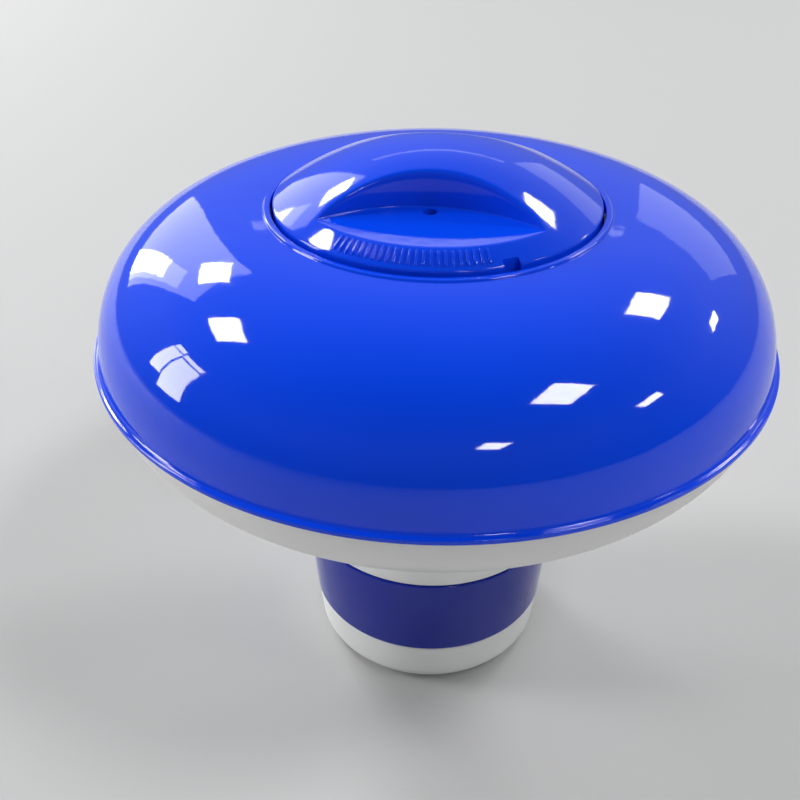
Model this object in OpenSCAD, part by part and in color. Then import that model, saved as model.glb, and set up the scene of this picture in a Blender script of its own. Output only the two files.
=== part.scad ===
// Floating chlorine dispenser for a swimming pool.
// A hollow two-part float carries a tablet basket under it. The float's mouth is closed by a
// twist-off cap, and a ring around the basket turns to open or close its flow slots.
// Frame: origin at the centre of the base's underside, +Z up, millimetres.

/* [Float] */
// Outer diameter of the rim flange, where the two shells meet
flange_d = 203.2; // [201:0.1:207]
// Height of the flange's lower face above the base
rim_z = 118; // [117:0.5:121]
// Height of the dome above the flange's lower face
dome_h = 39.9; // [38.5:0.1:41.5]
// Depth of the bowl below the flange
bowl_h = 37; // [35:0.5:38]
// Wall thickness of the shells
wall = 2.2; // [1.8:0.1:2.4]

/* [Mouth and cap] */
// Radius of the opening in the dome
mouth_r = 47.7; // [47.4:0.1:48.2]
// Gap between the cap's rim and the opening
rim_gap = 0.8; // [0.4:0.1:1]
// Height of the cap's crown above its rim
crown_h = 15.2; // [14:0.2:16]
// Half of the grip bar's thickness at its middle
bar_half = 14.6; // [13.5:0.1:15.5]
// Radius of the round walls on both sides of the grip bar
scoop_wall_r = 41.6; // [40:0.2:44]
// Height of the scoops' floors above the cap's rim
scoop_floor_h = 3.6; // [3:0.1:4.2]
// Angle of the grip bar about the vertical axis
bar_turn = -3.8; // [-30:0.2:30]
// Radius of the vent hole in the front scoop
vent_r = 2; // [1.5:0.1:2.5]
// Angle the cap turns to lock
lock_turn = 45; // [35:1:50]

/* [Basket and ring] */
// Height of the control ring's lower edge
ring_z = 17; // [16.5:0.5:18]
// Height of the control ring
ring_h = 30.3; // [29:0.1:31]
// Outer radius of the control ring at its top
ring_top_r = 41.9; // [41.7:0.1:42.1]
// Outer radius of the control ring at its lower edge
ring_low_r = 39.6; // [39.4:0.1:39.8]
// Width of one flow window in the ring
window_w = 20; // [16:1:20]
// Height of one flow window
window_h = 18; // [14:1:20]
// Angle the ring turns from open to closed
flow_turn = 30; // [29:1:31]

/* [Hidden] */
$fn = 120;
far = 120;

blue = [0.03, 0.16, 0.80];
white = [0.93, 0.93, 0.91];
rubber = [0.10, 0.10, 0.11];

// Float: the flange, the dome's foot and the mouth's socket
flange_r = flange_d / 2;
flange_t = 1.5;
dome_foot_r = flange_r - 1.8;
dome_foot_z = rim_z + 3.2;
dome_top_z = rim_z + dome_h;
mouth_lip = 2.3;
lip_h = 0.6;
socket_r = mouth_r + wall;
socket_z = 136;

// Ledge inside the socket that the gasket rests on and the cap's lugs lock under
ledge_top = dome_top_z - 6.9;
ledge_low = ledge_top - 2.2;
ledge_r = 42.2;
lug_angles = [20, 140, 260];
lug_half = 10;
slot_half = 13;
lug_r = 45.6;
lug_low = ledge_low - 3.9;
lug_top = ledge_low - 0.5;

// Well tube, its seal and the collar below the bowl
well_out_r = mouth_r - 0.3;
well_in_r = well_out_r - wall;
well_top = 142.6;
groove_z = 139.5;
groove_half = 1;
groove_r = well_out_r - 1.6;
seal_r = 0.9;
collar_out_r = 45.4;
collar_in_r = 42.8;
collar_z = 60.3;
bowl_low_z = rim_z - bowl_h;
tongue_r = dome_foot_r - wall - 0.4;

// Cap
cap_r = mouth_r - rim_gap;
cap_top_z = dome_top_z + 1.7;
cap_low_z = ledge_top + 2.2;
skirt_r = 41.6;
skirt_t = 2.2;
scoop_floor_z = cap_top_z + scoop_floor_h;
floor_t = wall + 0.4;
scoop_draft = 1.5;
vent_at = [-0.6, -19];
rib_r = 43.8;
rib_slope = atan(2 * crown_h * rib_r / (cap_r * cap_r));
notch_angle = -65.5;
notch_w = 4.6;
notch_depth = 1.9;

// Basket and base
ring_top = ring_z + ring_h;
ring_t = 2;
run_gap = 0.3;
basket_t = 2;
shoulder_z = ring_top + run_gap;
neck_r = collar_in_r - 0.2;
neck_top = 78;
spigot_r = 36.6;
foot_r = 32.3;
edge_r = 6;
seat_z = 6;
group_angles = [30, 90, 150];
key_half = 4;

// Points of a cubic Bezier curve from p[0] to p[3], n steps
function curve(p, n) = [
    for (i = [0:n])
        let (t = i / n, s = 1 - t)
        s * s * s * p[0] + 3 * s * s * t * p[1] + 3 * s * t * t * p[2] + t * t * t * p[3]
];

// Points of a circular arc about c, from angle a to angle b, n steps
function arc(c, r, a, b, n) = [
    for (i = [0:n])
        let (t = a + (b - a) * i / n)
        [c[0] + r * cos(t), c[1] + r * sin(t)]
];

// Four control points of the dome's outline, moved inwards by d
function dome_controls(d) = [
    [dome_foot_r - d, dome_foot_z],
    [dome_foot_r - 1 - d, rim_z + 25 - 0.3 * d],
    [83 - 0.5 * d, dome_top_z - 1.9 - d],
    [mouth_r + mouth_lip, dome_top_z - d]
];

// Four control points of the bowl's outline, moved upwards and inwards by d
function bowl_controls(d) = [
    [flange_r - 1.4 - d, rim_z - 0.1],
    [flange_r - 2.6 - d, rim_z - 14 + 0.3 * d],
    [82 - 0.5 * d, bowl_low_z + 4 + d],
    [well_out_r + 0.1, bowl_low_z + d]
];

// Height of the cap's crown at radius r: a parabola from the rim to the middle
function crown_z(r) = cap_top_z + crown_h * (1 - pow(r / cap_r, 2));

// Wall radius of the ring and basket cone at height z, moved inwards by d
function cone_r(z, d) = ring_low_r + (ring_top_r - ring_low_r) * (z - ring_z) / ring_h - d;

// Vertical prism over a sector from angle a to angle b
module sector(a, b, r, z0, z1) {
    translate([0, 0, z0])
        linear_extrude(height = z1 - z0)
            polygon([[0, 0], r * [cos(a), sin(a)], 1.02 * r * [cos((a + b) / 2), sin((a + b) / 2)],
                     r * [cos(b), sin(b)]]);
}

// Part of a plain ring between two angles
module ring_sector(r0, r1, z0, z1, a, b) {
    intersection() {
        translate([0, 0, z0])
            difference() {
                cylinder(r = r1, h = z1 - z0);
                translate([0, 0, -1])
                    cylinder(r = r0, h = z1 - z0 + 2);
            }
        sector(a, b, 2 * r1, z0 - 1, z1 + 1);
    }
}

// Window with round corners, cut radially at angle a about height z
module window(a, z, w, h, corner) {
    rotate([0, 0, a])
        translate([30, 0, z])
            rotate([90, 0, 90])
                linear_extrude(height = 20) {
                    square([w - 2 * corner, h], center = true);
                    square([w, h - 2 * corner], center = true);
                    for (x = [-1, 1])
                        for (y = [-1, 1])
                            translate([x * (w / 2 - corner), y * (h / 2 - corner)])
                                circle(r = corner, $fn = 32);
                }
}

// Space of both finger scoops, one on each side of the grip bar, from height z up. Their round
// walls lean back by the draft and are moved outwards by d.
module scoops(d, z) {
    for (side = [0, 180])
        rotate([0, 0, side])
            translate([0, -bar_half - scoop_wall_r, z])
                cylinder(r1 = scoop_wall_r - scoop_draft + d, r2 = scoop_wall_r + d, h = crown_h);
}

// Small plain ribs along the front of the cap, lying on its slope
module band_ribs() {
    for (a = [-125.2:2.4:-72])
        rotate([0, 0, a])
            translate([rib_r, 0, crown_z(rib_r)])
                rotate([0, rib_slope, 0])
                    translate([-2.3, -0.4, -1])
                        cube([4.6, 0.8, 1.6]);
}

module cap() {
    color(blue)
        difference() {
            union() {
                rotate([0, 0, bar_turn])
                    difference() {
                        // Crown and skirt: a solid of revolution with the two scoops pressed into it
                        rotate_extrude()
                            polygon(concat(
                                [[0, lug_low], [0, crown_z(0)]],
                                [for (r = [3:2.5:43]) [r, crown_z(r)]],
                                [[cap_r - 1, crown_z(cap_r - 1)]],
                                arc([cap_r - 0.9, cap_top_z - 0.5], 0.9, 50, 0, 4),
                                [[cap_r, cap_low_z], [skirt_r, cap_low_z], [skirt_r, lug_low]]
                            ));
                        scoops(0, scoop_floor_z);
                        // Hollow inside, leaving a wall of even thickness around the scoops
                        difference() {
                            rotate_extrude()
                                polygon(concat(
                                    [[0, lug_low - 1], [0, crown_z(0) - wall]],
                                    [for (r = [3:3:39]) [r, crown_z(r) - wall]],
                                    [[skirt_r - skirt_t, crown_z(skirt_r - skirt_t) - wall],
                                     [skirt_r - skirt_t, lug_low - 1]]
                                ));
                            scoops(wall, scoop_floor_z - floor_t);
                        }
                    }
                for (a = lug_angles)
                    ring_sector(skirt_r - 1, lug_r, lug_low, lug_top, a - lug_half, a + lug_half);
                band_ribs();
            }
            // Square notch through the rim, which shows how far the cap is turned
            rotate([0, 0, notch_angle])
                translate([cap_r - notch_depth, -notch_w / 2, cap_low_z - 1])
                    cube([6, notch_w, 14]);
            // Vent hole through the front scoop's floor
            rotate([0, 0, bar_turn])
                translate([vent_at[0], vent_at[1], scoop_floor_z - floor_t - 2])
                    cylinder(r = vent_r, h = floor_t + 4);
        }
}

module cap_gasket() {
    color(rubber)
        translate([0, 0, ledge_top + 0.05])
            difference() {
                cylinder(r = cap_r - 0.4, h = cap_low_z - ledge_top - 0.1);
                translate([0, 0, -1])
                    cylinder(r = skirt_r + 0.3, h = cap_low_z - ledge_top + 2);
            }
}

module top_shell() {
    color(blue) {
        difference() {
            rotate_extrude()
                polygon(concat(
                    // Flange with a rounded upper edge and a concave step up to the dome
                    [[dome_foot_r - wall, rim_z], [flange_r, rim_z]],
                    arc([flange_r - 0.7, rim_z + flange_t - 0.7], 0.7, 0, 90, 3),
                    arc([flange_r - 0.7, rim_z + flange_t + 1.4], 1.1, 260, 190, 3),
                    curve(dome_controls(0), 24),
                    // Mouth with its raised lip, socket wall and the ledge inside it
                    [[mouth_r + mouth_lip - 0.4, dome_top_z + lip_h],
                     [mouth_r + 0.3, dome_top_z + lip_h], [mouth_r, dome_top_z + lip_h - 0.3],
                     [mouth_r, ledge_top], [ledge_r, ledge_top], [ledge_r, ledge_low],
                     [mouth_r, ledge_low], [mouth_r, socket_z], [socket_r, socket_z],
                     [socket_r, dome_top_z - wall - 0.2]],
                    [for (i = [1:24]) curve(dome_controls(wall), 24)[24 - i]]
                ));
            // Entry slots in the ledge that the cap's lugs pass through
            for (a = lug_angles)
                ring_sector(ledge_r - 4, lug_r + 0.4, ledge_low - 1, ledge_top + 1,
                            a - slot_half, a + slot_half);
        }
        // Stops under the ledge at the end of the cap's locking turn
        for (a = lug_angles)
            ring_sector(ledge_r + 0.8, mouth_r + 0.5, lug_low, ledge_low + 0.5,
                        a - lock_turn - lug_half - 5, a - lock_turn - lug_half - 1);
    }
}

module bottom_shell() {
    color(white)
        rotate_extrude()
            polygon(concat(
                // Bowl's outside, from the flange down to the collar
                curve(bowl_controls(0), 24),
                [[collar_out_r, bowl_low_z - 2], [collar_out_r, collar_z],
                 [collar_in_r, collar_z], [collar_in_r, 69.8], [collar_in_r + 0.9, 70.2],
                 [collar_in_r + 0.9, 71.8], [collar_in_r, 72.2], [collar_in_r, bowl_low_z - 2.4],
                 // Well tube, thicker at the top around the seal's groove
                 [well_in_r, bowl_low_z], [well_in_r, well_top - 10], [well_in_r - 0.8, well_top - 9],
                 [well_in_r - 0.8, well_top], [well_out_r, well_top],
                 [well_out_r, groove_z + groove_half], [groove_r, groove_z + groove_half],
                 [groove_r, groove_z - groove_half], [well_out_r, groove_z - groove_half],
                 [well_out_r, bowl_low_z + wall]],
                // Bowl's inside and the tongue that stands up inside the top shell
                [for (i = [1:24]) let (p = curve(bowl_controls(wall), 24)[24 - i]) if (p[1] < rim_z - 6) p],
                [[tongue_r - 2, rim_z - 3], [tongue_r - 2, rim_z + 3.4], [tongue_r, rim_z + 3.4],
                 [tongue_r, rim_z - 0.1]]
            ));
}

module well_seal() {
    color(rubber)
        translate([0, 0, groove_z])
            rotate_extrude()
                translate([mouth_r - 0.05 - seal_r, 0])
                    circle(r = seal_r, $fn = 24);
}

module basket() {
    color(white)
        difference() {
            union() {
                rotate_extrude()
                    polygon([
                        // Spigot in the base cap, with its snap bead
                        [spigot_r - basket_t, seat_z + 0.1], [spigot_r, seat_z + 0.1],
                        [spigot_r, 11.4], [spigot_r + 0.35, 11.7], [spigot_r + 0.35, 12.3],
                        [spigot_r, 12.6], [spigot_r, ring_z],
                        // Cone that the control ring turns on
                        [cone_r(ring_z, ring_t + run_gap), ring_z],
                        [cone_r(shoulder_z, ring_t + run_gap), shoulder_z],
                        // Shoulder over the ring and neck in the collar, with its snap bead
                        [ring_top_r - 0.6, shoulder_z], [ring_top_r - 0.2, shoulder_z + 0.5],
                        [neck_r, collar_z - 0.8], [neck_r, 70.1], [neck_r + 0.7, 70.6],
                        [neck_r + 0.7, 71.4], [neck_r, 71.9], [neck_r, neck_top],
                        [neck_r - 0.6, neck_top],
                        // Inside
                        [neck_r - 2.2, neck_top - 1.6], [neck_r - 2.2, collar_z],
                        [cone_r(shoulder_z, ring_t + run_gap + basket_t), shoulder_z - 2],
                        [spigot_r - basket_t, ring_z]
                    ]);
                // Key that stops the ring at both ends of its turn
                ring_sector(cone_r(ring_top, 3.3), cone_r(ring_top, ring_t - 0.5), ring_top - 3.2,
                            shoulder_z + 0.1, -90 - key_half, -90 + key_half);
            }
            // Narrow flow slots in three groups on the rear half
            for (g = group_angles)
                for (k = [-2:2])
                    window(g + 6 * k, ring_z + ring_h / 2, 2.6, window_h - 2, 1.2);
        }
}

module control_ring() {
    color(blue)
        difference() {
            rotate_extrude()
                polygon([
                    [cone_r(ring_z + 0.3, ring_t), ring_z + 0.3],
                    [cone_r(ring_z + 0.3, 0.5), ring_z + 0.3],
                    [cone_r(ring_z + 0.8, 0), ring_z + 0.8],
                    [cone_r(ring_top - 0.5, 0), ring_top - 0.5],
                    [cone_r(ring_top, 0.5), ring_top],
                    [cone_r(ring_top, ring_t), ring_top]
                ]);
            for (a = group_angles)
                window(a, ring_z + ring_h / 2, window_w, window_h, 3);
            // Recess that the basket's key runs in
            ring_sector(cone_r(ring_top, 6), cone_r(ring_top, 0.9), ring_top - 3.8, ring_top + 1,
                        -90 - key_half - 0.6, -90 + key_half + flow_turn + 0.6);
        }
}

module base_cap() {
    color(white)
        difference() {
            rotate_extrude()
                polygon(concat(
                    // Foot ring, rounded edge and cone up to the control ring
                    [[0, 1.2], [foot_r - 3, 1.2], [foot_r - 3, 0]],
                    arc([foot_r, edge_r], edge_r, 270, 360, 8),
                    [[ring_low_r - 0.3, ring_z - 0.5], [ring_low_r - 0.8, ring_z],
                     // Socket for the basket's spigot, with its snap groove
                     [spigot_r + 0.15, ring_z], [spigot_r + 0.15, 13], [spigot_r + 0.55, 12.6],
                     [spigot_r + 0.55, 11.4], [spigot_r + 0.15, 11], [spigot_r + 0.15, seat_z],
                     [spigot_r - basket_t, seat_z], [spigot_r - basket_t, 3.4], [0, 3.4]]
                ));
            // Drain grille
            cylinder(r = 4, h = far, center = true);
            for (a = [0:30:330])
                rotate([0, 0, a]) {
                    translate([9, -1.6, -1])
                        cube([16.4, 3.2, 8]);
                    for (x = [9, 25.4])
                        translate([x, 0, -1])
                            cylinder(r = 1.6, h = 8, $fn = 24);
                }
        }
}

cap();
cap_gasket();
top_shell();
bottom_shell();
well_seal();
basket();
control_ring();
base_cap();
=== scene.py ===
# %% [markdown]
# # A floating chlorine dispenser
# A pool dispenser is a hollow float with a basket of chlorine tablets hanging under it.
# It is moulded in eight pieces: a twist-off cap and its gasket, the blue top shell, the white
# bottom shell with its seal, the tablet basket, the blue ring that sets the flow, and the base.
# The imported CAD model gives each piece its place; this lesson gives each one its finished surface.

# %% Load the frame
import bmesh
import bpy
import math
import numpy as np
from mathutils import Matrix, Quaternion, Vector


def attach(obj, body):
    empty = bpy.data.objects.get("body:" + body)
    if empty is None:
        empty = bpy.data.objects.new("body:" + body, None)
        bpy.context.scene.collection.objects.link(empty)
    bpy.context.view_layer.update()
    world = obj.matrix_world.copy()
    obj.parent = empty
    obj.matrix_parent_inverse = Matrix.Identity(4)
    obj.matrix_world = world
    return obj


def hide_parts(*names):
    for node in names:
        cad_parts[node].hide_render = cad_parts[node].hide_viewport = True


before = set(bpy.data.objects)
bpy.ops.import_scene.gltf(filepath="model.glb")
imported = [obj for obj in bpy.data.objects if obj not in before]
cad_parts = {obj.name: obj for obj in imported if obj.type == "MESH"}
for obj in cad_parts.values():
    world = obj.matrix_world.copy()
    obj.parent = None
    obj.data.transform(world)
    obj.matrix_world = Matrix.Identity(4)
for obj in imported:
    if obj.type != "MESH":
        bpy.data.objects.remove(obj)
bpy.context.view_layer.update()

# %% [markdown]
# ## The camera
# The camera looks down on the dome from a little over a quarter of a metre, about 34 degrees
# below the horizon. A near camera makes the dome look wide and the basket under it small.
# Writing the view as a place and two angles keeps it easy to check against a real set-up.

# %% Camera
MM = 0.001
CAMERA_PLACE = (0.0, -281.1, 278.6)
CAMERA_DOWN = 33.93
CAMERA_SIDE = -2.26
CAMERA_ROLL = -0.19


def make_camera():
    """A camera at CAMERA_PLACE, looking CAMERA_SIDE degrees to the side and CAMERA_DOWN below level."""
    data = bpy.data.cameras.new("view")
    data.lens = 47.25
    data.sensor_width = 36.0
    data.clip_start = 0.01
    data.clip_end = 50.0
    camera = bpy.data.objects.new("view", data)
    bpy.context.scene.collection.objects.link(camera)
    camera.location = [c * MM for c in CAMERA_PLACE]
    camera.rotation_euler = (
        math.radians(90 - CAMERA_DOWN), math.radians(CAMERA_ROLL), math.radians(-CAMERA_SIDE)
    )
    return camera


bpy.context.scene.camera = make_camera()
print("camera at", tuple(bpy.context.scene.camera.location))

# %% [markdown]
# ## The studio
# Glossy plastic shows little of its own colour: most of what the eye reads is what it mirrors.
# So the studio is laid out like a room. Flat panels hang over the dispenser, a barred window
# stands on the left, pale screens stand behind, and each leaves its own patch on the dome.
# Placing them in metres, and not by eye on the dome, makes the same panel show in the right
# place on the dome and on the cap. The sky behind them is a soft grey, lighter to the rear.

# %% Lights
def make_light(name, middle, width, height, facing, turn, brightness):
    """A rectangular light with its middle at (x, y, z) metres, its face towards the direction
    `facing` and its width level before it is turned by `turn` degrees about that direction.
    Brightness is radiance, so power = pi * radiance * width * height."""
    data = bpy.data.lights.new(name, "AREA")
    data.shape = "RECTANGLE"
    data.size = width
    data.size_y = height
    data.energy = math.pi * brightness * width * height
    light = bpy.data.objects.new(name, data)
    bpy.context.scene.collection.objects.link(light)
    light.location = middle
    level = Vector(facing).to_track_quat("-Z", "Y")
    light.rotation_mode = "QUATERNION"
    light.rotation_quaternion = level @ Quaternion((0, 0, 1), math.radians(turn))
    light.visible_camera = False
    return light


CEILING = 1.5
PANEL_WIDTH, PANEL_LENGTH = 0.35, 0.40
PANEL_TURN, PANEL_BRIGHTNESS = -6, 25
# name, x, y: panels in the ceiling, facing down
PANELS = [
    ("panel_right", 0.80, -0.355), ("panel_left", -1.13, 0.62), ("panel_rear_right", 1.03, 1.20),
    ("panel_rear_left", -1.10, 1.68), ("panel_far_right", 2.37, -0.53), ("panel_corner", 2.46, 1.52),
    ("panel_behind", 0.74, -2.03),
]
for name, x, y in PANELS:
    middle = (x, y, CEILING)
    make_light(name, middle, PANEL_WIDTH, PANEL_LENGTH, (0, 0, -1), PANEL_TURN, PANEL_BRIGHTNESS)

WINDOW_X, WINDOW_TURN, PANE_BRIGHTNESS = -1.6, 10, 14
# name, y, z, width, height: the panes of the window on the left
PANES = [
    ("pane_rear", 0.24, 0.70, 0.15, 0.60), ("pane_front", -0.03, 0.62, 0.30, 0.76),
    ("transom_rear", 0.31, 1.07, 0.14, 0.10), ("transom_front", 0.06, 1.08, 0.30, 0.10),
]
for name, y, z, width, height in PANES:
    make_light(name, (WINDOW_X, y, z), width, height, (1, 0, 0), WINDOW_TURN, PANE_BRIGHTNESS)

SCREEN_Y = 1.8
# name, x, z, width, height, brightness: screens and windows behind, each turned to the middle
SCREENS = [
    ("screen_left", -1.35, 1.10, 1.00, 1.50, 2.3), ("screen_corner", -1.66, 0.95, 0.36, 1.20, 2.2),
    ("window_corner", -1.60, 0.76, 0.30, 0.86, 8), ("screen_right", 1.05, 0.75, 0.90, 0.55, 0.7),
    ("rear_strip", 0.0, 1.05, 1.10, 0.05, 1.2),
]
for name, x, z, width, height, brightness in SCREENS:
    make_light(name, (x, SCREEN_Y, z), width, height, (-x, -SCREEN_Y, 0), 0, brightness)
print(len(PANELS) + len(PANES) + len(SCREENS), "lights")

# %% [markdown]
# ## Sky and floor
# The rest of the room is a sky and a plain pale floor. A sky of one even grey would make every
# piece look flat, so a ramp makes it brightest half-way up, and it grows darker towards the front,
# where the real room would be in shade. The floor is one matt disc with nothing on it.


# %% Sky and floor
def make_sky():
    """A grey sky. A ramp on the ray's height z gives 0.5 at the horizon, 1 at 0.45 and 0.3 overhead;
    it is multiplied by 0.14 in front and 0.5 behind, going by the ray's y."""
    world = bpy.data.worlds.new("sky")
    bpy.context.scene.world = world
    world.use_nodes = True
    nodes, links = world.node_tree.nodes, world.node_tree.links
    nodes.clear()
    coords = nodes.new("ShaderNodeTexCoord")
    split = nodes.new("ShaderNodeSeparateXYZ")
    ramp = nodes.new("ShaderNodeValToRGB")
    ramp.color_ramp.elements[0].position = 0.0
    ramp.color_ramp.elements[0].color = (0.50, 0.51, 0.53, 1)
    ramp.color_ramp.elements[1].position = 1.0
    ramp.color_ramp.elements[1].color = (0.28, 0.30, 0.34, 1)
    middle = ramp.color_ramp.elements.new(0.45)
    middle.color = (0.96, 0.98, 1.0, 1)
    rear = nodes.new("ShaderNodeMapRange")
    rear.interpolation_type = "SMOOTHSTEP"
    rear.inputs["From Min"].default_value = -0.3
    rear.inputs["From Max"].default_value = 0.7
    rear.inputs["To Min"].default_value = 0.14
    rear.inputs["To Max"].default_value = 0.5
    back = nodes.new("ShaderNodeBackground")
    out = nodes.new("ShaderNodeOutputWorld")
    links.new(coords.outputs["Generated"], split.inputs[0])
    links.new(split.outputs["Z"], ramp.inputs[0])
    links.new(split.outputs["Y"], rear.inputs["Value"])
    links.new(ramp.outputs[0], back.inputs["Color"])
    links.new(rear.outputs["Result"], back.inputs["Strength"])
    links.new(back.outputs[0], out.inputs[0])
    return world


def make_floor():
    """A flat disc under the dispenser: points at even angles t, at (radius cos t, radius sin t)."""
    radius, count, depth = 3.0, 96, 0.0002
    turn = np.linspace(0, 2 * np.pi, count, endpoint=False)
    rim = np.stack([radius * np.cos(turn), radius * np.sin(turn), np.full(count, -depth)], 1)
    mesh = bpy.data.meshes.new("floor")
    mesh.from_pydata(rim.tolist(), [], [list(range(count))])
    floor = bpy.data.objects.new("floor", mesh)
    bpy.context.scene.collection.objects.link(floor)
    material = bpy.data.materials.new("floor_sheet")
    material.use_nodes = True
    shader = material.node_tree.nodes["Principled BSDF"]
    shader.inputs["Base Color"].default_value = (0.52, 0.52, 0.52, 1)
    shader.inputs["Roughness"].default_value = 0.9
    mesh.materials.append(material)
    return floor


make_sky()
floor = make_floor()
bpy.context.scene.view_settings.view_transform = "Standard"
print("floor", [round(side, 2) for side in floor.dimensions], "m")

# %% [markdown]
# ## Moulded surfaces as grids
# Nearly every piece is turned: a closed outline carried round the upright axis. The others are
# turned walls with windows in them. Both are grids of points, so all shapes here are numpy
# arrays of shape (columns, rows, 3), in millimetres until the mesh is made.

# %% Outline helpers
def bezier(points, steps):
    """Cubic Bezier through its four control points: the sum of the points times (1-t)^(3-i) t^i
    and the binomials 1, 3, 3, 1, at steps + 1 values of t."""
    t = np.linspace(0, 1, steps + 1)[:, None]
    p = np.array(points, float)
    return (1 - t) ** 3 * p[0] + 3 * (1 - t) ** 2 * t * p[1] + 3 * (1 - t) * t ** 2 * p[2] + t ** 3 * p[3]


def rounded(corners, steps=4, closed=True):
    """Outline through corners (r, z, radius). Each corner becomes a quadratic Bezier that leaves
    the side before it at `radius` from the corner and joins the side after it as far on."""
    c = np.array(corners, float)
    p, reach = c[:, :2], c[:, 2]
    before, after = np.roll(p, 1, 0) - p, np.roll(p, -1, 0) - p
    len_b, len_a = np.linalg.norm(before, axis=1), np.linalg.norm(after, axis=1)
    if not closed:
        reach = reach.copy()
        reach[[0, -1]] = 0
    cut = np.minimum(reach, 0.48 * np.minimum(len_b, len_a))[:, None]
    start = p + before / np.maximum(len_b, 1e-9)[:, None] * cut
    end = p + after / np.maximum(len_a, 1e-9)[:, None] * cut
    t = np.linspace(0, 1, steps + 1)[None, :, None]
    path = (1 - t) ** 2 * start[:, None] + 2 * (1 - t) * t * p[:, None] + t ** 2 * end[:, None]
    path = path.reshape(-1, 2)
    keep = np.linalg.norm(path - np.roll(path, 1, 0), axis=1) > 1e-5
    keep[0] = True
    return path[keep]


def plain(points):
    """The same points as corners with no rounding."""
    p = np.asarray(points, float)
    return np.column_stack([p, np.zeros(len(p))]).tolist()


def turned(outline, angles):
    """Grid of an outline (r, z) turned to each angle in degrees: (r cos a, r sin a, z)."""
    a = np.radians(np.asarray(angles, float))[:, None]
    r, z = outline[None, :, 0], outline[None, :, 1]
    return np.stack([r * np.cos(a), r * np.sin(a), z + 0 * a], 2)


print("a soft square has", len(rounded([(0, 0, 1), (9, 0, 1), (9, 9, 1), (0, 9, 1)])), "points")

# %% [markdown]
# ## From grids to a mesh
# A grid's points are handed to the mesh in one go, and its faces are found by counting: each one
# joins a point to the next row and the next column. Where two grids share a border, their points
# fall in the same place and are merged, so that several simple grids make one closed piece.


# %% Grids into a mesh
def grid_faces(columns, rows, wrap_columns, wrap_rows):
    """Corner numbers of every small face of a grid, as whole arrays."""
    i = np.arange(columns if wrap_columns else columns - 1)
    j = np.arange(rows if wrap_rows else rows - 1)
    i, j = [k.ravel() for k in np.meshgrid(i, j, indexing="ij")]
    i2, j2 = (i + 1) % columns, (j + 1) % rows
    return np.stack([i * rows + j, i2 * rows + j, i2 * rows + j2, i * rows + j2], 1)


def mesh_from_grids(name, grids):
    """One mesh from several grids (points, wrap_columns, wrap_rows): faces joined, doubles merged,
    and every face turned outwards."""
    points, faces, first = [], [], 0
    for grid, wrap_columns, wrap_rows in grids:
        columns, rows = grid.shape[:2]
        points.append(grid.reshape(-1, 3) * MM)
        faces.append(grid_faces(columns, rows, wrap_columns, wrap_rows) + first)
        first += columns * rows
    points, faces = np.concatenate(points), np.concatenate(faces)
    mesh = bpy.data.meshes.new(name)
    mesh.vertices.add(len(points))
    mesh.vertices.foreach_set("co", points.ravel())
    mesh.loops.add(faces.size)
    mesh.loops.foreach_set("vertex_index", faces.ravel().astype(np.int32))
    mesh.polygons.add(len(faces))
    mesh.polygons.foreach_set("loop_start", np.arange(0, faces.size, 4, dtype=np.int32))
    mesh.update(calc_edges=True)
    mesh.validate()
    weld(mesh)
    return mesh


def weld(mesh, gap=2e-6):
    """Merges points closer than `gap` metres, drops flat faces and turns the rest outwards."""
    work = bmesh.new()
    work.from_mesh(mesh)
    bmesh.ops.remove_doubles(work, verts=work.verts, dist=gap)
    bmesh.ops.dissolve_degenerate(work, edges=work.edges, dist=gap)
    bmesh.ops.recalc_face_normals(work, faces=work.faces)
    work.to_mesh(mesh)
    work.free()


print("a 4 by 3 grid has", len(grid_faces(4, 3, False, False)), "faces")


# %% Finishing a piece
def finish_piece(name, mesh, body, material, nodes, crease=32):
    """The mesh as a finished piece: smooth with creases over `crease` degrees, riding on its body,
    standing for its CAD nodes, with its material."""
    piece = bpy.data.objects.new(name, mesh)
    bpy.context.scene.collection.objects.link(piece)
    mesh.shade_smooth()
    mesh.set_sharp_from_angle(angle=math.radians(crease))
    mesh.materials.append(material)
    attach(piece, body)
    if nodes:
        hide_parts(*nodes)
    print(name, len(mesh.polygons), "faces")
    return piece


print("bodies to ride on: float, gasket, cap and ring")

# %% [markdown]
# ## Finishes
# The blue pieces are moulded in polished tools: clear deep blue with a sharp gloss. Under the
# gloss there is always a little orange peel from the mould, a few fine rubs, and a slow change
# of shade where the plastic flowed. The white pieces have a softer sheen. Each finish is a
# Principled shader whose noise reads Object coordinates, so it stays fixed on the piece.

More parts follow.
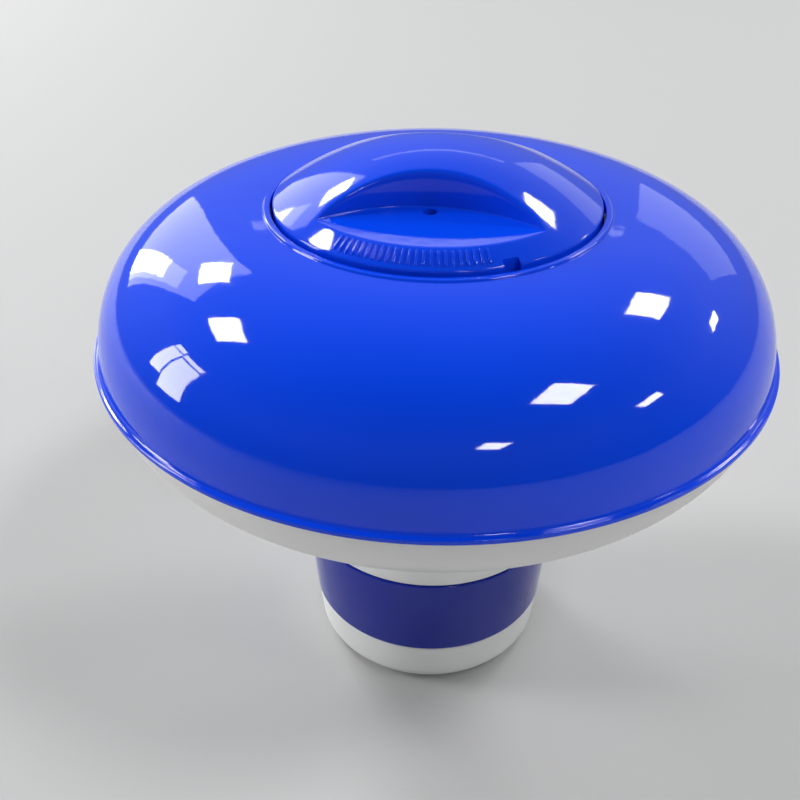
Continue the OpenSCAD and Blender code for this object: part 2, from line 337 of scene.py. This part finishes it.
# %% Finish helper
def moulded(name, colour, second, gloss, rubs, peel, slow=14.0, ior=1.5, flow=0.35):
    """Moulded plastic: base colour mixed from `colour` to `second` by a slow noise; roughness is
    `gloss` plus `rubs` times fine scratches; bump is `peel` metres of orange peel."""
    material = bpy.data.materials.new(name)
    material.use_nodes = True
    nodes, links = material.node_tree.nodes, material.node_tree.links
    shader = nodes["Principled BSDF"]
    shader.inputs["IOR"].default_value = ior
    coords = nodes.new("ShaderNodeTexCoord")

    def noise(scale, detail, rough=0.5, stretch=None):
        node = nodes.new("ShaderNodeTexNoise")
        node.inputs["Scale"].default_value = scale
        node.inputs["Detail"].default_value = detail
        node.inputs["Roughness"].default_value = rough
        source = coords.outputs["Object"]
        if stretch:
            place = nodes.new("ShaderNodeMapping")
            place.inputs["Rotation"].default_value = (0.3, 0.2, 0.6)
            place.inputs["Scale"].default_value = stretch
            links.new(source, place.inputs["Vector"])
            source = place.outputs["Vector"]
        links.new(source, node.inputs["Vector"])
        return node.outputs["Fac"]

    def spread(value, low, high, to_low, to_high):
        node = nodes.new("ShaderNodeMapRange")
        node.inputs["From Min"].default_value = low
        node.inputs["From Max"].default_value = high
        node.inputs["To Min"].default_value = to_low
        node.inputs["To Max"].default_value = to_high
        links.new(value, node.inputs["Value"])
        return node.outputs["Result"]

    shade = nodes.new("ShaderNodeMix")
    shade.data_type = "RGBA"
    shade.inputs["A"].default_value = (*colour, 1)
    shade.inputs["B"].default_value = (*second, 1)
    links.new(spread(noise(slow, 3.0), 0.35, 0.7, 0.0, flow * 2), shade.inputs["Factor"])
    links.new(shade.outputs["Result"], shader.inputs["Base Color"])

    scratches = noise(55.0, 6.0, 0.7, stretch=(1.0, 14.0, 1.0))
    links.new(spread(scratches, 0.52, 0.78, gloss, gloss + rubs), shader.inputs["Roughness"])

    ripple = nodes.new("ShaderNodeBump")
    ripple.inputs["Strength"].default_value = 1.0
    ripple.inputs["Distance"].default_value = peel
    links.new(noise(95.0, 2.0), ripple.inputs["Height"])
    links.new(ripple.outputs["Normal"], shader.inputs["Normal"])
    return material


BLUE_SHELL = moulded("blue_gloss", (0.001, 0.062, 0.84), (0.001, 0.052, 0.76), 0.04, 0.05, 0.00004, ior=1.45)
BLUE_CAP = moulded("cap_gloss", (0.001, 0.062, 0.84), (0.001, 0.052, 0.76), 0.06, 0.06, 0.00004, ior=1.45)
BLUE_RING = moulded("ring_gloss", (0.001, 0.016, 0.34), (0.001, 0.014, 0.28), 0.08, 0.08, 0.00004, ior=1.42)
WHITE_SHELL = moulded("white_satin", (0.83, 0.83, 0.81), (0.79, 0.79, 0.77), 0.30, 0.04, 0.00004)
WHITE_BASKET = moulded("white_basket_satin", (0.86, 0.87, 0.86), (0.82, 0.83, 0.82), 0.28, 0.04, 0.00004)
RUBBER = moulded("seal_rubber_matt", (0.018, 0.018, 0.019), (0.03, 0.03, 0.03), 0.55, 0.2, 0.00003)
print("finishes made")

# %% [markdown]
# ## The float's top shell
# The dome is one long easy curve from the rim to the mouth, so it is a Bezier with the same
# control points as the CAD part. Its foot steps down through a small hollow onto a flange with
# a rounded bead. Inside the mouth is a ledge with three gaps that the cap's lugs pass through;
# letting the ledge's radius depend on the angle cuts the gaps without any cutting tool.

# %% Float sizes
RIM_Z = 118.0
DOME_TOP = 157.9
FLANGE_R = 101.6
MOUTH_R = 47.7
WALL = 2.2
LUG_ANGLES = (20.0, 140.0, 260.0)
LEDGE_TOP, LEDGE_LOW, LEDGE_R = 151.0, 148.8, 42.2
LUG_LOW = 144.9


def dome_curve(inset, steps):
    """The dome's outline from its foot to the mouth, moved inwards by inset."""
    return bezier([
        (99.8 - inset, RIM_Z + 3.2), (98.8 - inset, RIM_Z + 25 - 0.3 * inset),
        (83 - 0.5 * inset, DOME_TOP - 1.9 - inset), (50.0, DOME_TOP - inset),
    ], steps)


def near_any(angles, centres, half):
    """1 where an angle lies within `half` degrees of any centre, else 0."""
    off = (angles[:, None] - np.array(centres)[None] + 180) % 360 - 180
    return (np.abs(off) <= half + 1e-6).any(1).astype(float)


def angles_with(edges, count):
    """`count` even angles over a turn, plus the given edges and a hair on both sides of each."""
    extra = [e + d for e in edges for d in (-0.12, 0.12)]
    return np.unique(np.concatenate([np.arange(count) * 360.0 / count, np.array(extra) % 360]))


print("dome", round(DOME_TOP - RIM_Z, 1), "mm high over the rim,", 2 * FLANGE_R, "mm across the flange")


# %% Top shell
def top_shell_grid():
    """Outline turned through a whole turn. In each gap the ledge's inner radius grows from 42.2 to
    46, and at each stop the underside of the ledge drops by 3.9."""
    stops = [a - 58 for a in LUG_ANGLES]
    edges = [a + s for a in LUG_ANGLES for s in (-13, 13)] + [a + s for a in stops for s in (-2, 2)]
    angles = angles_with(edges, 240)
    gap, stop = near_any(angles, LUG_ANGLES, 13), near_any(angles, stops, 2)
    before = rounded(
        [(97.6, RIM_Z, 0), (FLANGE_R, RIM_Z, 0.35), (FLANGE_R, RIM_Z + 1.5, 0.75),
         (100.5, RIM_Z + 1.5, 0.35), (99.95, RIM_Z + 2.2, 0.6)] + plain(dome_curve(0, 64))
        + [(49.8, DOME_TOP + 0.02, 0.12), (49.4, DOME_TOP + 0.6, 0.35), (MOUTH_R, DOME_TOP + 0.6, 0.35),
           (MOUTH_R, LEDGE_TOP, 0.3), (LEDGE_R + 3, LEDGE_TOP, 0)], closed=False
    )
    after = rounded(
        [(MOUTH_R, LUG_LOW - 1, 0), (MOUTH_R, 136, 0.4), (MOUTH_R + WALL, 136, 0.4),
         (MOUTH_R + WALL, DOME_TOP - 2.4, 0.8)] + plain(dome_curve(WALL, 40)[::-1][1:]), closed=False
    )
    ledge_r = LEDGE_R + (46.0 - LEDGE_R) * gap
    under_r = np.maximum(ledge_r, 43.0)
    under_z = LEDGE_LOW + (LUG_LOW - LEDGE_LOW) * stop
    a = np.radians(angles)
    ledge = [
        (ledge_r + 0.3, LEDGE_TOP + 0 * a), (ledge_r, LEDGE_TOP - 0.3 + 0 * a),
        (ledge_r, LEDGE_LOW + 0.3 + 0 * a), (ledge_r + 0.3, LEDGE_LOW + 0 * a),
        (under_r + 0.4, LEDGE_LOW + 0 * a), (under_r + 0.4, under_z), (MOUTH_R + 0 * a, under_z),
    ]
    middle = np.stack([np.stack([r * np.cos(a), r * np.sin(a), z], 1) for r, z in ledge], 1)
    return np.concatenate([turned(before, angles), middle, turned(after, angles)], 1)


top_shell = finish_piece(
    "top_shell_moulding", mesh_from_grids("top_shell_moulding", [(top_shell_grid(), True, True)]),
    "float", BLUE_SHELL, ["top_shell"]
)

# %% [markdown]
# ## The float's bottom shell
# The white bowl hangs under the flange. It carries a tube up through the float, which the
# tablets go down, and a collar below, which the basket snaps into. All of it is turned, so it is
# one closed outline again, with every moulded edge softly rounded.


# %% Bottom shell
def bowl_curve(inset, steps):
    """The bowl's outline from the rim down to the collar, moved inwards and up by inset."""
    return bezier([
        (100.2 - inset, RIM_Z - 0.1), (99.0 - inset, RIM_Z - 14 + 0.3 * inset),
        (82 - 0.5 * inset, 85 + inset), (47.5, 81 + inset),
    ], steps)


def bottom_shell_outline():
    """Closed outline: bowl outside, collar with its snap groove, tube with the seal's groove, bowl
    inside, and the tongue that stands up inside the top shell."""
    inside = bowl_curve(WALL, 40)[::-1][1:]
    inside = inside[inside[:, 1] < RIM_Z - 6]
    return rounded(
        plain(bowl_curve(0, 56)[:-1])
        + [(47.5, 81, 0.8), (45.4, 79, 1.0), (45.4, 60.3, 0.5), (42.8, 60.3, 0.4), (42.8, 69.8, 0),
           (43.7, 70.2, 0), (43.7, 71.8, 0), (42.8, 72.2, 0), (42.8, 78.6, 0.8), (45.2, 81, 0.8),
           (45.2, 132.6, 0), (44.4, 133.6, 0), (44.4, 142.6, 0.4), (47.4, 142.6, 0.4),
           (47.4, 140.5, 0.2), (45.8, 140.5, 0.2), (45.8, 138.5, 0.2), (47.4, 138.5, 0.2),
           (47.4, 83.2, 1.0)]
        + plain(inside)
        + [(94.7, RIM_Z - 3, 0), (94.7, RIM_Z + 3.4, 0.4), (97.2, RIM_Z + 3.4, 0.4), (97.2, RIM_Z - 0.1, 0)]
    )


bottom_shell = finish_piece(
    "bottom_shell_moulding",
    mesh_from_grids("bottom_shell_moulding",
                    [(turned(bottom_shell_outline(), np.arange(240) * 1.5), True, True)]),
    "float", WHITE_SHELL, ["bottom_shell"]
)

# %% [markdown]
# ## Seals
# Two rubber rings keep the float dry: an O-ring round the tube and a flat gasket under the cap.
# Both are turned outlines, a circle and a soft-edged strip.


# %% Seals
def ring_outline(centre, radius, count):
    """A circle of `count` points about (r, z)."""
    t = np.linspace(0, 2 * np.pi, count, endpoint=False)
    return np.stack([centre[0] + radius * np.cos(t), centre[1] + radius * np.sin(t)], 1)


even_turn = np.arange(180) * 2.0
seal = finish_piece(
    "well_seal_ring",
    mesh_from_grids("well_seal_ring",
                    [(turned(ring_outline((46.75, 139.5), 0.9, 20), even_turn), True, True)]),
    "float", RUBBER, ["well_seal"]
)
GASKET = [(41.9, 151.05, 0.4), (46.5, 151.05, 0.4), (46.5, 153.15, 0.4), (41.9, 153.15, 0.4)]
gasket = finish_piece(
    "cap_gasket_ring",
    mesh_from_grids("cap_gasket_ring", [(turned(rounded(GASKET), even_turn), True, True)]),
    "gasket", RUBBER, ["cap_gasket"]
)

# %% [markdown]
# ## Walls with windows
# The flow ring and the basket are turned walls with openings in them, and the base has a drain
# grille. Each opening gets its own panel: rows of points that start on the opening's rounded
# outline and spread out to the panel's straight border. Borders of neighbouring panels share
# their points, so the panels weld into one wall, and Solidify gives it its thickness.


# %% Panels
def border(half_u, half_v, nu, nv):
    """Points round a rectangle, counter-clockwise from its lower right corner."""
    s, t = np.linspace(-1, 1, nv + 1)[:-1], np.linspace(1, -1, nu + 1)[:-1]
    right = np.stack([np.full(nv, half_u), half_v * s], 1)
    top = np.stack([half_u * t, np.full(nu, half_v)], 1)
    return np.concatenate([right, top, -right, -top])


def pierced_panel(half_u, half_v, hole_u, hole_v, corner, nu, nv, rows):
    """Grid from a rounded hole to the panel's border. A point p of the sharp hole is pulled to
    core + corner * (p - core) / |p - core|, where core is p held inside the smaller rectangle."""
    sharp = border(hole_u, hole_v, nu, nv)
    limit = np.array([hole_u - corner, hole_v - corner])
    core = np.clip(sharp, -limit, limit)
    out = sharp - core
    hole = core + corner * out / np.linalg.norm(out, axis=1)[:, None]
    s = np.linspace(0, 1, rows)[None, :, None]
    return hole[:, None] * (1 - s) + border(half_u, half_v, nu, nv)[:, None] * s


def wrap_panel(panel, angle, middle_z, radius_at, unroll):
    """Bends a flat panel (u, v) round the axis: angle + u / unroll, z = middle_z + v, r from z."""
    a = math.radians(angle) + panel[..., 0] / unroll
    z = middle_z + panel[..., 1]
    r = radius_at(z)
    return np.stack([r * np.cos(a), r * np.sin(a), z], -1)


print("a pierced panel:", pierced_panel(20, 15, 10, 9, 3, 40, 24, 9).shape[:2], "columns and rows")


# %% Wall thickness
def thicken(piece, thickness, edge, segments=2):
    """A wall of even thickness behind the surface, its free edges softened by a small bevel."""
    wall = piece.modifiers.new("wall", "SOLIDIFY")
    wall.thickness = thickness * MM
    wall.offset = -1.0
    wall.use_even_offset = True
    soft = piece.modifiers.new("soft_edges", "BEVEL")
    soft.width = edge * MM
    soft.segments = segments
    soft.limit_method = "ANGLE"
    soft.angle_limit = math.radians(50)
    soft.harden_normals = True


print("walls 2 mm thick behind the panels")

# %% [markdown]
# ## The flow ring
# The navy ring turns round the basket and covers or opens three windows at the back. Its wall
# leans out a little towards the top, as every moulded wall does so that it leaves its mould.

# %% Flow ring
RING_Z, RING_TOP = 17.3, 47.3
WINDOW_MIDDLE = 32.15
WINDOWS = (30.0, 90.0, 150.0)


def cone_r(z, inset=0.0):
    """Outer radius of the ring's leaning wall at height z, less inset."""
    return 39.6 + (41.9 - 39.6) * (z - 17.0) / 30.3 - inset


def ring_grids():
    """Three panels with windows at the back, three plain ones at the front."""
    half_u = math.radians(30) * 40.75
    half_v = (RING_TOP - RING_Z) / 2
    middle = (RING_TOP + RING_Z) / 2
    pierced = pierced_panel(half_u, half_v, 10.0, 9.0, 3.0, 40, 24, 9)
    grids = [(wrap_panel(pierced, a, middle, cone_r, 40.75), True, False) for a in WINDOWS]
    u, v = np.meshgrid(np.linspace(-half_u, half_u, 41), np.linspace(-half_v, half_v, 25), indexing="ij")
    flat = np.stack([u, v], -1)
    grids += [(wrap_panel(flat, a + 180, middle, cone_r, 40.75), False, False) for a in WINDOWS]
    return grids


flow_ring = finish_piece(
    "flow_ring", mesh_from_grids("flow_ring", ring_grids()), "ring", BLUE_RING,
    ["control_ring"]
)
thicken(flow_ring, 2.0, 0.45, 3)

# %% [markdown]
# ## The tablet basket
# The basket is a white sleeve. Its neck shows as a pale band between the ring and the float, and
# behind the ring's windows it has three groups of narrow slots.

# %% Basket
SLOT_STEP = 6.0


def basket_r(z):
    """Radius of the basket's cone behind the ring."""
    return cone_r(z, 2.3)


def basket_grids():
    """Plain turned bands above and below, and one six-degree panel per slot between them."""
    low, high = 22.15, 42.15
    angles = np.arange(360) * 1.0
    below = rounded([(36.6, 6.1, 0), (36.6, 17.0, 0.2), (basket_r(17.0), 17.0, 0.2),
                     (basket_r(low), low, 0)], closed=False)
    above = rounded(
        [(basket_r(high), high, 0), (basket_r(47.6), 47.6, 0.5), (41.5, 47.6, 0.5), (42.0, 52.5, 0),
         (42.6, 59.5, 0), (42.6, 70.1, 0), (43.3, 70.6, 0.2), (43.3, 71.4, 0.2), (42.6, 71.9, 0),
         (42.6, 78.0, 0)], closed=False
    )
    grids = [(turned(below, angles), True, False), (turned(above, angles), True, False)]
    unroll = 38.5
    half_u = math.radians(3) * unroll
    slot = pierced_panel(half_u, 10.0, 1.25, 8.0, 1.15, 6, 20, 4)
    u, v = np.meshgrid(np.linspace(-half_u, half_u, 7), np.linspace(-10, 10, 21), indexing="ij")
    flat = np.stack([u, v], -1)
    places = np.arange(60) * 6.0
    pierced = near_any(places, WINDOWS, 12.5) > 0
    grids += [(wrap_panel(slot, a, WINDOW_MIDDLE, basket_r, unroll), True, False) for a in places[pierced]]
    grids += [(wrap_panel(flat, a, WINDOW_MIDDLE, basket_r, unroll), False, False) for a in places[~pierced]]
    return grids


basket = finish_piece(
    "tablet_basket", mesh_from_grids("tablet_basket", basket_grids()), "float",
    WHITE_BASKET, ["basket"]
)
thicken(basket, 2.0, 0.25)

# %% [markdown]
# ## The base
# The base plugs the basket's lower end. It stands on a narrow foot ring, with a drain grille
# of twelve slots round a hole, and its outer edge is a generous quarter round.

# %% Base
FOOT_R, EDGE_R = 32.3, 6.0


def base_grids():
    """Turned bands from the hole to the grille and from the grille over the foot to the ring,
    with twelve sectors between them, each pierced by one round-ended slot."""
    inner, outer, sectors, nu, nv = 5.5, 27.6, 12, 10, 24
    t = np.linspace(0, np.pi / 2, 12)
    edge = np.stack([FOOT_R + EDGE_R * np.sin(t), EDGE_R - EDGE_R * np.cos(t)], 1)
    angles = np.arange(sectors * nu) * 360.0 / (sectors * nu)
    rim = rounded(
        [(outer, 1.2, 0), (FOOT_R - 3, 1.2, 0.3), (FOOT_R - 3, 0, 0.3)] + plain(edge)
        + [(39.3, 16.4, 0.5), (38.8, 17.0, 0)], closed=False
    )
    hub = np.array([(4.0, 1.2), (inner, 1.2)])
    grids = [(turned(hub, angles), True, False), (turned(rim, angles), True, False)]
    middle, half = (inner + outer) / 2, (outer - inner) / 2
    hole = pierced_panel(1.0, half, 1.6, 9.8, 1.59, nu, nv, 5)[:, 0]
    wide = border(1.0, half, nu, nv)
    radius = middle + wide[:, 1]
    spread = wide[:, 0] * math.radians(180 / sectors)
    edge_xy = np.stack([radius * np.sin(spread), radius * np.cos(spread)], 1)
    hole_xy = hole + np.array([0, middle])
    s = np.linspace(0, 1, 6)[None, :, None]
    sector = hole_xy[:, None] * (1 - s) + edge_xy[:, None] * s
    for a in np.radians(np.arange(sectors) * 360.0 / sectors + 180.0 / sectors):
        x = sector[..., 0] * np.cos(a) - sector[..., 1] * np.sin(a)
        y = sector[..., 0] * np.sin(a) + sector[..., 1] * np.cos(a)
        grids.append((np.stack([x, y, 1.2 + 0 * x], -1), True, False))
    return grids


base = finish_piece(
    "drain_base", mesh_from_grids("drain_base", base_grids()), "float",
    WHITE_BASKET, ["base_cap"]
)
thicken(base, 2.0, 0.25)

# %% [markdown]
# ## The cap
# The cap is a plain dome with two finger scoops cut into it, which leave a broad grip bar across
# the middle. Each scoop has a flat floor and a round wall, so seen from above it is a lens between
# the wall's arc and the circle where the floor runs out of the dome. Columns of points run from
# the bar's crest over its edge, down the wall, across the scoop's floor, over the lip and out
# to the rim, so every edge of the shape lies along a row and can be rounded exactly.

# %% Cap sizes
CAP_R, CAP_TOP, CROWN_H = 46.9, 159.6, 15.2
BAR_TURN = -3.8
WALL_CENTRE, WALL_RADIUS, WALL_LEAN = -56.2, 41.6, 1.5
SCOOP_FLOOR = 163.2
LIP_RADIUS = CAP_R * math.sqrt(1 - (SCOOP_FLOOR - CAP_TOP) / CROWN_H)
RIM_START = 46.0
RIM_LOW = 153.2
SKIRT_R, SKIRT_INNER_R = 41.6, 39.4
INNER_LIP_R = 38.0
FLOOR_WALL = 2.6


def crown(r):
    """Height of the cap at radius r: the top less a share of the crown that grows as r squared."""
    return CAP_TOP + CROWN_H * (1 - (np.asarray(r) / CAP_R) ** 2)


def bend(start, control, end, steps):
    """Quadratic Bezier rows from start to end, without the first."""
    t = np.linspace(0, 1, steps + 1)[1:, None, None]
    return (1 - t) ** 2 * start + 2 * (1 - t) * t * control + t ** 2 * end


def s_bend(start, low, high, end, steps):
    """Cubic Bezier rows from start to end, without the first."""
    t = np.linspace(0, 1, steps + 1)[1:, None, None]
    return (1 - t) ** 3 * start + 3 * (1 - t) ** 2 * t * low + 3 * (1 - t) * t ** 2 * high + t ** 3 * end


def straight(start, end, steps):
    """Rows on straight lines from start to end, without the first."""
    t = np.linspace(0, 1, steps + 1)[1:, None, None]
    return (1 - t) * start + t * end


def with_z(xy, z):
    """Points (x, y) with a height each."""
    return np.column_stack([xy, np.broadcast_to(z, len(xy))])


print("scoop floor runs out of the dome at radius", round(LIP_RADIUS, 2), "mm")


# %% Cap skin
def cap_skin(outset, drop, floor, lip_r, rim, columns=84, crest=16, band=14):
    """The cap's surface with the scoops' walls moved outwards by outset and the crown lowered by
    drop; the floors end at lip_r and the band at rim. Gives the grids and the rim's angles."""
    wall_r = WALL_RADIUS + outset
    corner_y = (wall_r ** 2 - lip_r ** 2 - WALL_CENTRE ** 2) / (-2 * WALL_CENTRE)
    corner_x = math.sqrt(wall_r ** 2 - (corner_y - WALL_CENTRE) ** 2)
    u = np.sin(np.linspace(-1, 1, columns + 1) * np.pi / 2)
    x = corner_x * u
    wall = np.stack([x, WALL_CENTRE + np.sqrt(wall_r ** 2 - x ** 2)], 1)
    lip = np.stack([x, -np.sqrt(lip_r ** 2 - x ** 2)], 1)
    into_wall = (np.array([0, WALL_CENTRE]) - wall) / wall_r
    into_lip = -lip / lip_r

    def top(xy):
        return crown(np.linalg.norm(xy, axis=1)) - drop

    corner_z = top(np.array([[corner_x, corner_y]]))[0]
    low = floor + (corner_z - floor) * np.abs(u) ** 30
    high = np.maximum(top(wall) - low, 0)
    edge = np.minimum(0.9, 0.45 * high)[:, None]
    foot = np.minimum(0.6, 0.45 * high)[:, None]
    ridge = np.minimum(0.9, 0.45 * high)[:, None]
    lean = WALL_LEAN / 11 * high[:, None]

    on_bar = wall - edge * into_wall
    at_foot = wall + lean * into_wall
    start = with_z(on_bar, top(on_bar))
    bar_half = straight(with_z(np.stack([x, 0 * x], 1), 0), start, crest)
    bar_half = np.concatenate([with_z(np.stack([x, 0 * x], 1), 0)[None], bar_half])
    bar_half[..., 2] = crown(np.hypot(bar_half[..., 0], bar_half[..., 1])) - drop
    below_edge = with_z(wall + 0.3 * lean * into_wall, top(wall) - edge[:, 0])
    above_foot = with_z(at_foot, low + foot[:, 0])
    on_floor = with_z(at_foot + foot * into_wall, low)
    off_lip = with_z(lip + ridge * into_lip, low)
    out_lip = lip - ridge * into_lip
    out = with_z(out_lip, top(out_lip))
    rows = [
        bar_half,
        bend(start, with_z(wall, top(wall)), below_edge, 6),
        straight(below_edge, above_foot, 5),
        bend(above_foot, with_z(at_foot, low), on_floor, 6),
        straight(on_floor, off_lip, 14),
        s_bend(off_lip, with_z(lip, low), with_z(lip, top(lip)), out, 8),
    ]

    def radial(inner):
        """Rows from inner points straight outwards to the rim."""
        r = np.linalg.norm(inner[:, :2], axis=1)
        t = np.linspace(0, 1, band + 1)[1:, None]
        reach = r + (rim - r) * t
        way = inner[:, :2] / r[:, None]
        return np.concatenate([reach[..., None] * way, (crown(reach) - drop)[..., None]], 2)

    front = np.concatenate(rows + [radial(out)]).transpose(1, 0, 2)
    rear = front * np.array([1, -1, 1])
    right_in = np.concatenate([front[-1, crest:0:-1], rear[-1, :crest + 1]])
    right = np.concatenate([right_in[None], radial(right_in)]).transpose(1, 0, 2)
    left = right * np.array([-1, 1, 1])
    rim_points = np.concatenate([front[:-1, -1], right[:-1, -1], rear[:0:-1, -1], left[:0:-1, -1]])
    angles = np.unwrap(np.arctan2(rim_points[:, 1], rim_points[:, 0]))
    return [(g, False, False) for g in (front, rear, right, left)], np.degrees(angles)


outer, outer_angles = cap_skin(0.0, 0.0, SCOOP_FLOOR, LIP_RADIUS, RIM_START)
inner, inner_angles = cap_skin(WALL, WALL, SCOOP_FLOOR - FLOOR_WALL, INNER_LIP_R, SKIRT_INNER_R)
print("cap skin grids", [grid[0].shape[:2] for grid in outer])


# %% Cap body
def cap_grids():
    """Outer skin, inner skin, and between them the rim, the step over the gasket and the skirt:
    a turned outline whose angles slide from the outer rim's to the inner rim's, row by row."""
    outline = rounded(
        [(RIM_START, crown(RIM_START), 0), (CAP_R, CAP_TOP, 0.9), (CAP_R, RIM_LOW, 0.4),
         (SKIRT_R, RIM_LOW, 0.3), (SKIRT_R, LUG_LOW, 0.5), (SKIRT_INNER_R, LUG_LOW, 0.5),
         (SKIRT_INNER_R, crown(SKIRT_INNER_R) - WALL, 0)], steps=7, closed=False
    )
    share = np.linspace(0, 1, len(outline))[None]
    a = np.radians(outer_angles[:, None] * (1 - share) + inner_angles[:, None] * share)
    r, z = outline[:, 0][None], outline[:, 1][None]
    side = np.stack([r * np.cos(a), r * np.sin(a), z + 0 * a], 2)
    return outer + inner + [(side, True, False)]


def turn_mesh(mesh, degrees):
    """Turns the points of a mesh about the upright axis."""
    mesh.transform(Matrix.Rotation(math.radians(degrees), 4, "Z"))


cap_mesh = mesh_from_grids("twist_cap", cap_grids())
turn_mesh(cap_mesh, BAR_TURN)
cap = finish_piece("twist_cap", cap_mesh, "cap", BLUE_CAP, ["cap"])

# %% [markdown]
# ## Lugs, notch and vent
# Three lugs under the rim lock the cap, a square notch shows how far it is turned, and a small
# hole in the front scoop lets air out. The lugs are joined to the skirt and the other two are
# cut with small numpy solids.


# %% Cutting and joining
def solid(name, grids):
    """A helper solid for cutting or joining; it isn't kept."""
    helper = bpy.data.objects.new(name, mesh_from_grids(name, grids))
    bpy.context.scene.collection.objects.link(helper)
    return helper


def combine(piece, helper, operation):
    """Joins or cuts the piece with the helper solid, keeps the result and removes the helper."""
    step = piece.modifiers.new(operation.lower(), "BOOLEAN")
    step.operation = operation
    step.solver = "EXACT"
    step.object = helper
    bpy.context.view_layer.update()
    ready = piece.evaluated_get(bpy.context.evaluated_depsgraph_get())
    result = bpy.data.meshes.new_from_object(ready)
    piece.modifiers.clear()
    old = piece.data
    piece.data = result
    result.name = piece.name
    bpy.data.meshes.remove(old)
    bpy.data.objects.remove(helper)


def closed_block(outlines):
    """A closed tube through outlines (x, y, z), one after another, with both ends drawn in to
    their middles."""
    grid = np.stack([np.stack(outline, -1) for outline in outlines])
    first, last = grid[:1].mean(1, keepdims=True), grid[-1:].mean(1, keepdims=True)
    ends = [np.broadcast_to(first, grid[:1].shape), np.broadcast_to(last, grid[-1:].shape)]
    return np.concatenate([ends[0], grid, ends[1]])


def lug_grid(angle):
    """A rounded strip in (r, z), carried round 20 degrees about the lug's angle."""
    strip = rounded([(40.6, LUG_LOW, 0), (45.6, LUG_LOW, 0.5), (45.6, 148.3, 0.5), (40.6, 148.3, 0)])
    turns = np.radians(angle + np.linspace(-10, 10, 15))
    frames = [(strip[:, 0] * math.cos(t), strip[:, 0] * math.sin(t), strip[:, 1]) for t in turns]
    return closed_block(frames)


def peg_grid(centre, radius, z0, z1, count=48):
    """An upright round peg: a circle at each end, drawn in to the middle."""
    t = np.linspace(0, 2 * np.pi, count, endpoint=False)
    ring = (centre[0] + radius * np.cos(t), centre[1] + radius * np.sin(t))
    return closed_block([(*ring, np.full(count, z)) for z in (z0, z1)])


def block_grid(angle, r0, r1, half, z0, z1, corner):
    """An upright bar with rounded corners, lying along the radius at this angle."""
    outline = rounded([(r0, -half, corner), (r1, -half, 0), (r1, half, 0), (r0, half, corner)])
    c, s = math.cos(math.radians(angle)), math.sin(math.radians(angle))
    x, y = outline[:, 0] * c - outline[:, 1] * s, outline[:, 0] * s + outline[:, 1] * c
    return closed_block([(x, y, np.full(len(x), z)) for z in (z0, z1)])


# %% Lugs, notch and vent
NOTCH_TURN, NOTCH_START, NOTCH_HALF = -65.5, 45.0, 2.3
VENT_ALONG, VENT_OUT, VENT_R = -0.6, 19, 2.0

lugs = solid("lugs", [(lug_grid(a), False, True) for a in LUG_ANGLES])
combine(cap, lugs, "UNION")
notch = block_grid(NOTCH_TURN, NOTCH_START, 49, NOTCH_HALF, 150, 168, 0.35)
combine(cap, solid("notch", [(notch, False, True)]), "DIFFERENCE")
c, s = math.cos(math.radians(BAR_TURN)), math.sin(math.radians(BAR_TURN))
vent_at = (VENT_ALONG * c + VENT_OUT * s, VENT_ALONG * s - VENT_OUT * c)
combine(cap, solid("vent", [(peg_grid(vent_at, VENT_R, 158, 166), False, True)]), "DIFFERENCE")
cap.data.shade_smooth()
cap.data.set_sharp_from_angle(angle=math.radians(32))
print("cap", len(cap.data.polygons), "faces")

# %% [markdown]
# ## Ribs on the cap's band
# A row of small raised ribs on the cap's front slope gives a wet thumb something to hold. Each is
# a superellipsoid: a box whose corners are rounded by raising its sines and cosines to a power.


# %% Ribs
RIB_MIDDLE = 43.8
RIB_LENGTH, RIB_WIDTH, RIB_HEIGHT = 4.0, 0.85, 0.55


def rib_grid(angle, across=16, along=12):
    """Superellipsoid with half sizes (length, width) / 2 and height, powers 0.45, laid on the
    crown: its height is added to the crown's at each point's radius."""
    up, about = np.linspace(-np.pi / 2, np.pi / 2, along), np.linspace(0, 2 * np.pi, across + 1)[:-1]
    v, w = np.meshgrid(up, about)

    def soft(value):
        return np.sign(value) * np.abs(value) ** 0.45

    x = RIB_LENGTH / 2 * soft(np.cos(v)) * soft(np.cos(w)) + RIB_MIDDLE
    y = RIB_WIDTH / 2 * soft(np.cos(v)) * soft(np.sin(w))
    z = RIB_HEIGHT * soft(np.sin(v)) + crown(np.hypot(x, y))
    c, s = math.cos(math.radians(angle)), math.sin(math.radians(angle))
    return np.stack([x * c - y * s, x * s + y * c, z], 2)


rib_angles = np.arange(-125.2, -72, 2.4)
ribs = finish_piece(
    "cap_band_ribs",
    mesh_from_grids("cap_band_ribs", [(rib_grid(a), True, False) for a in rib_angles]),
    "cap", BLUE_CAP, ["cap"]
)
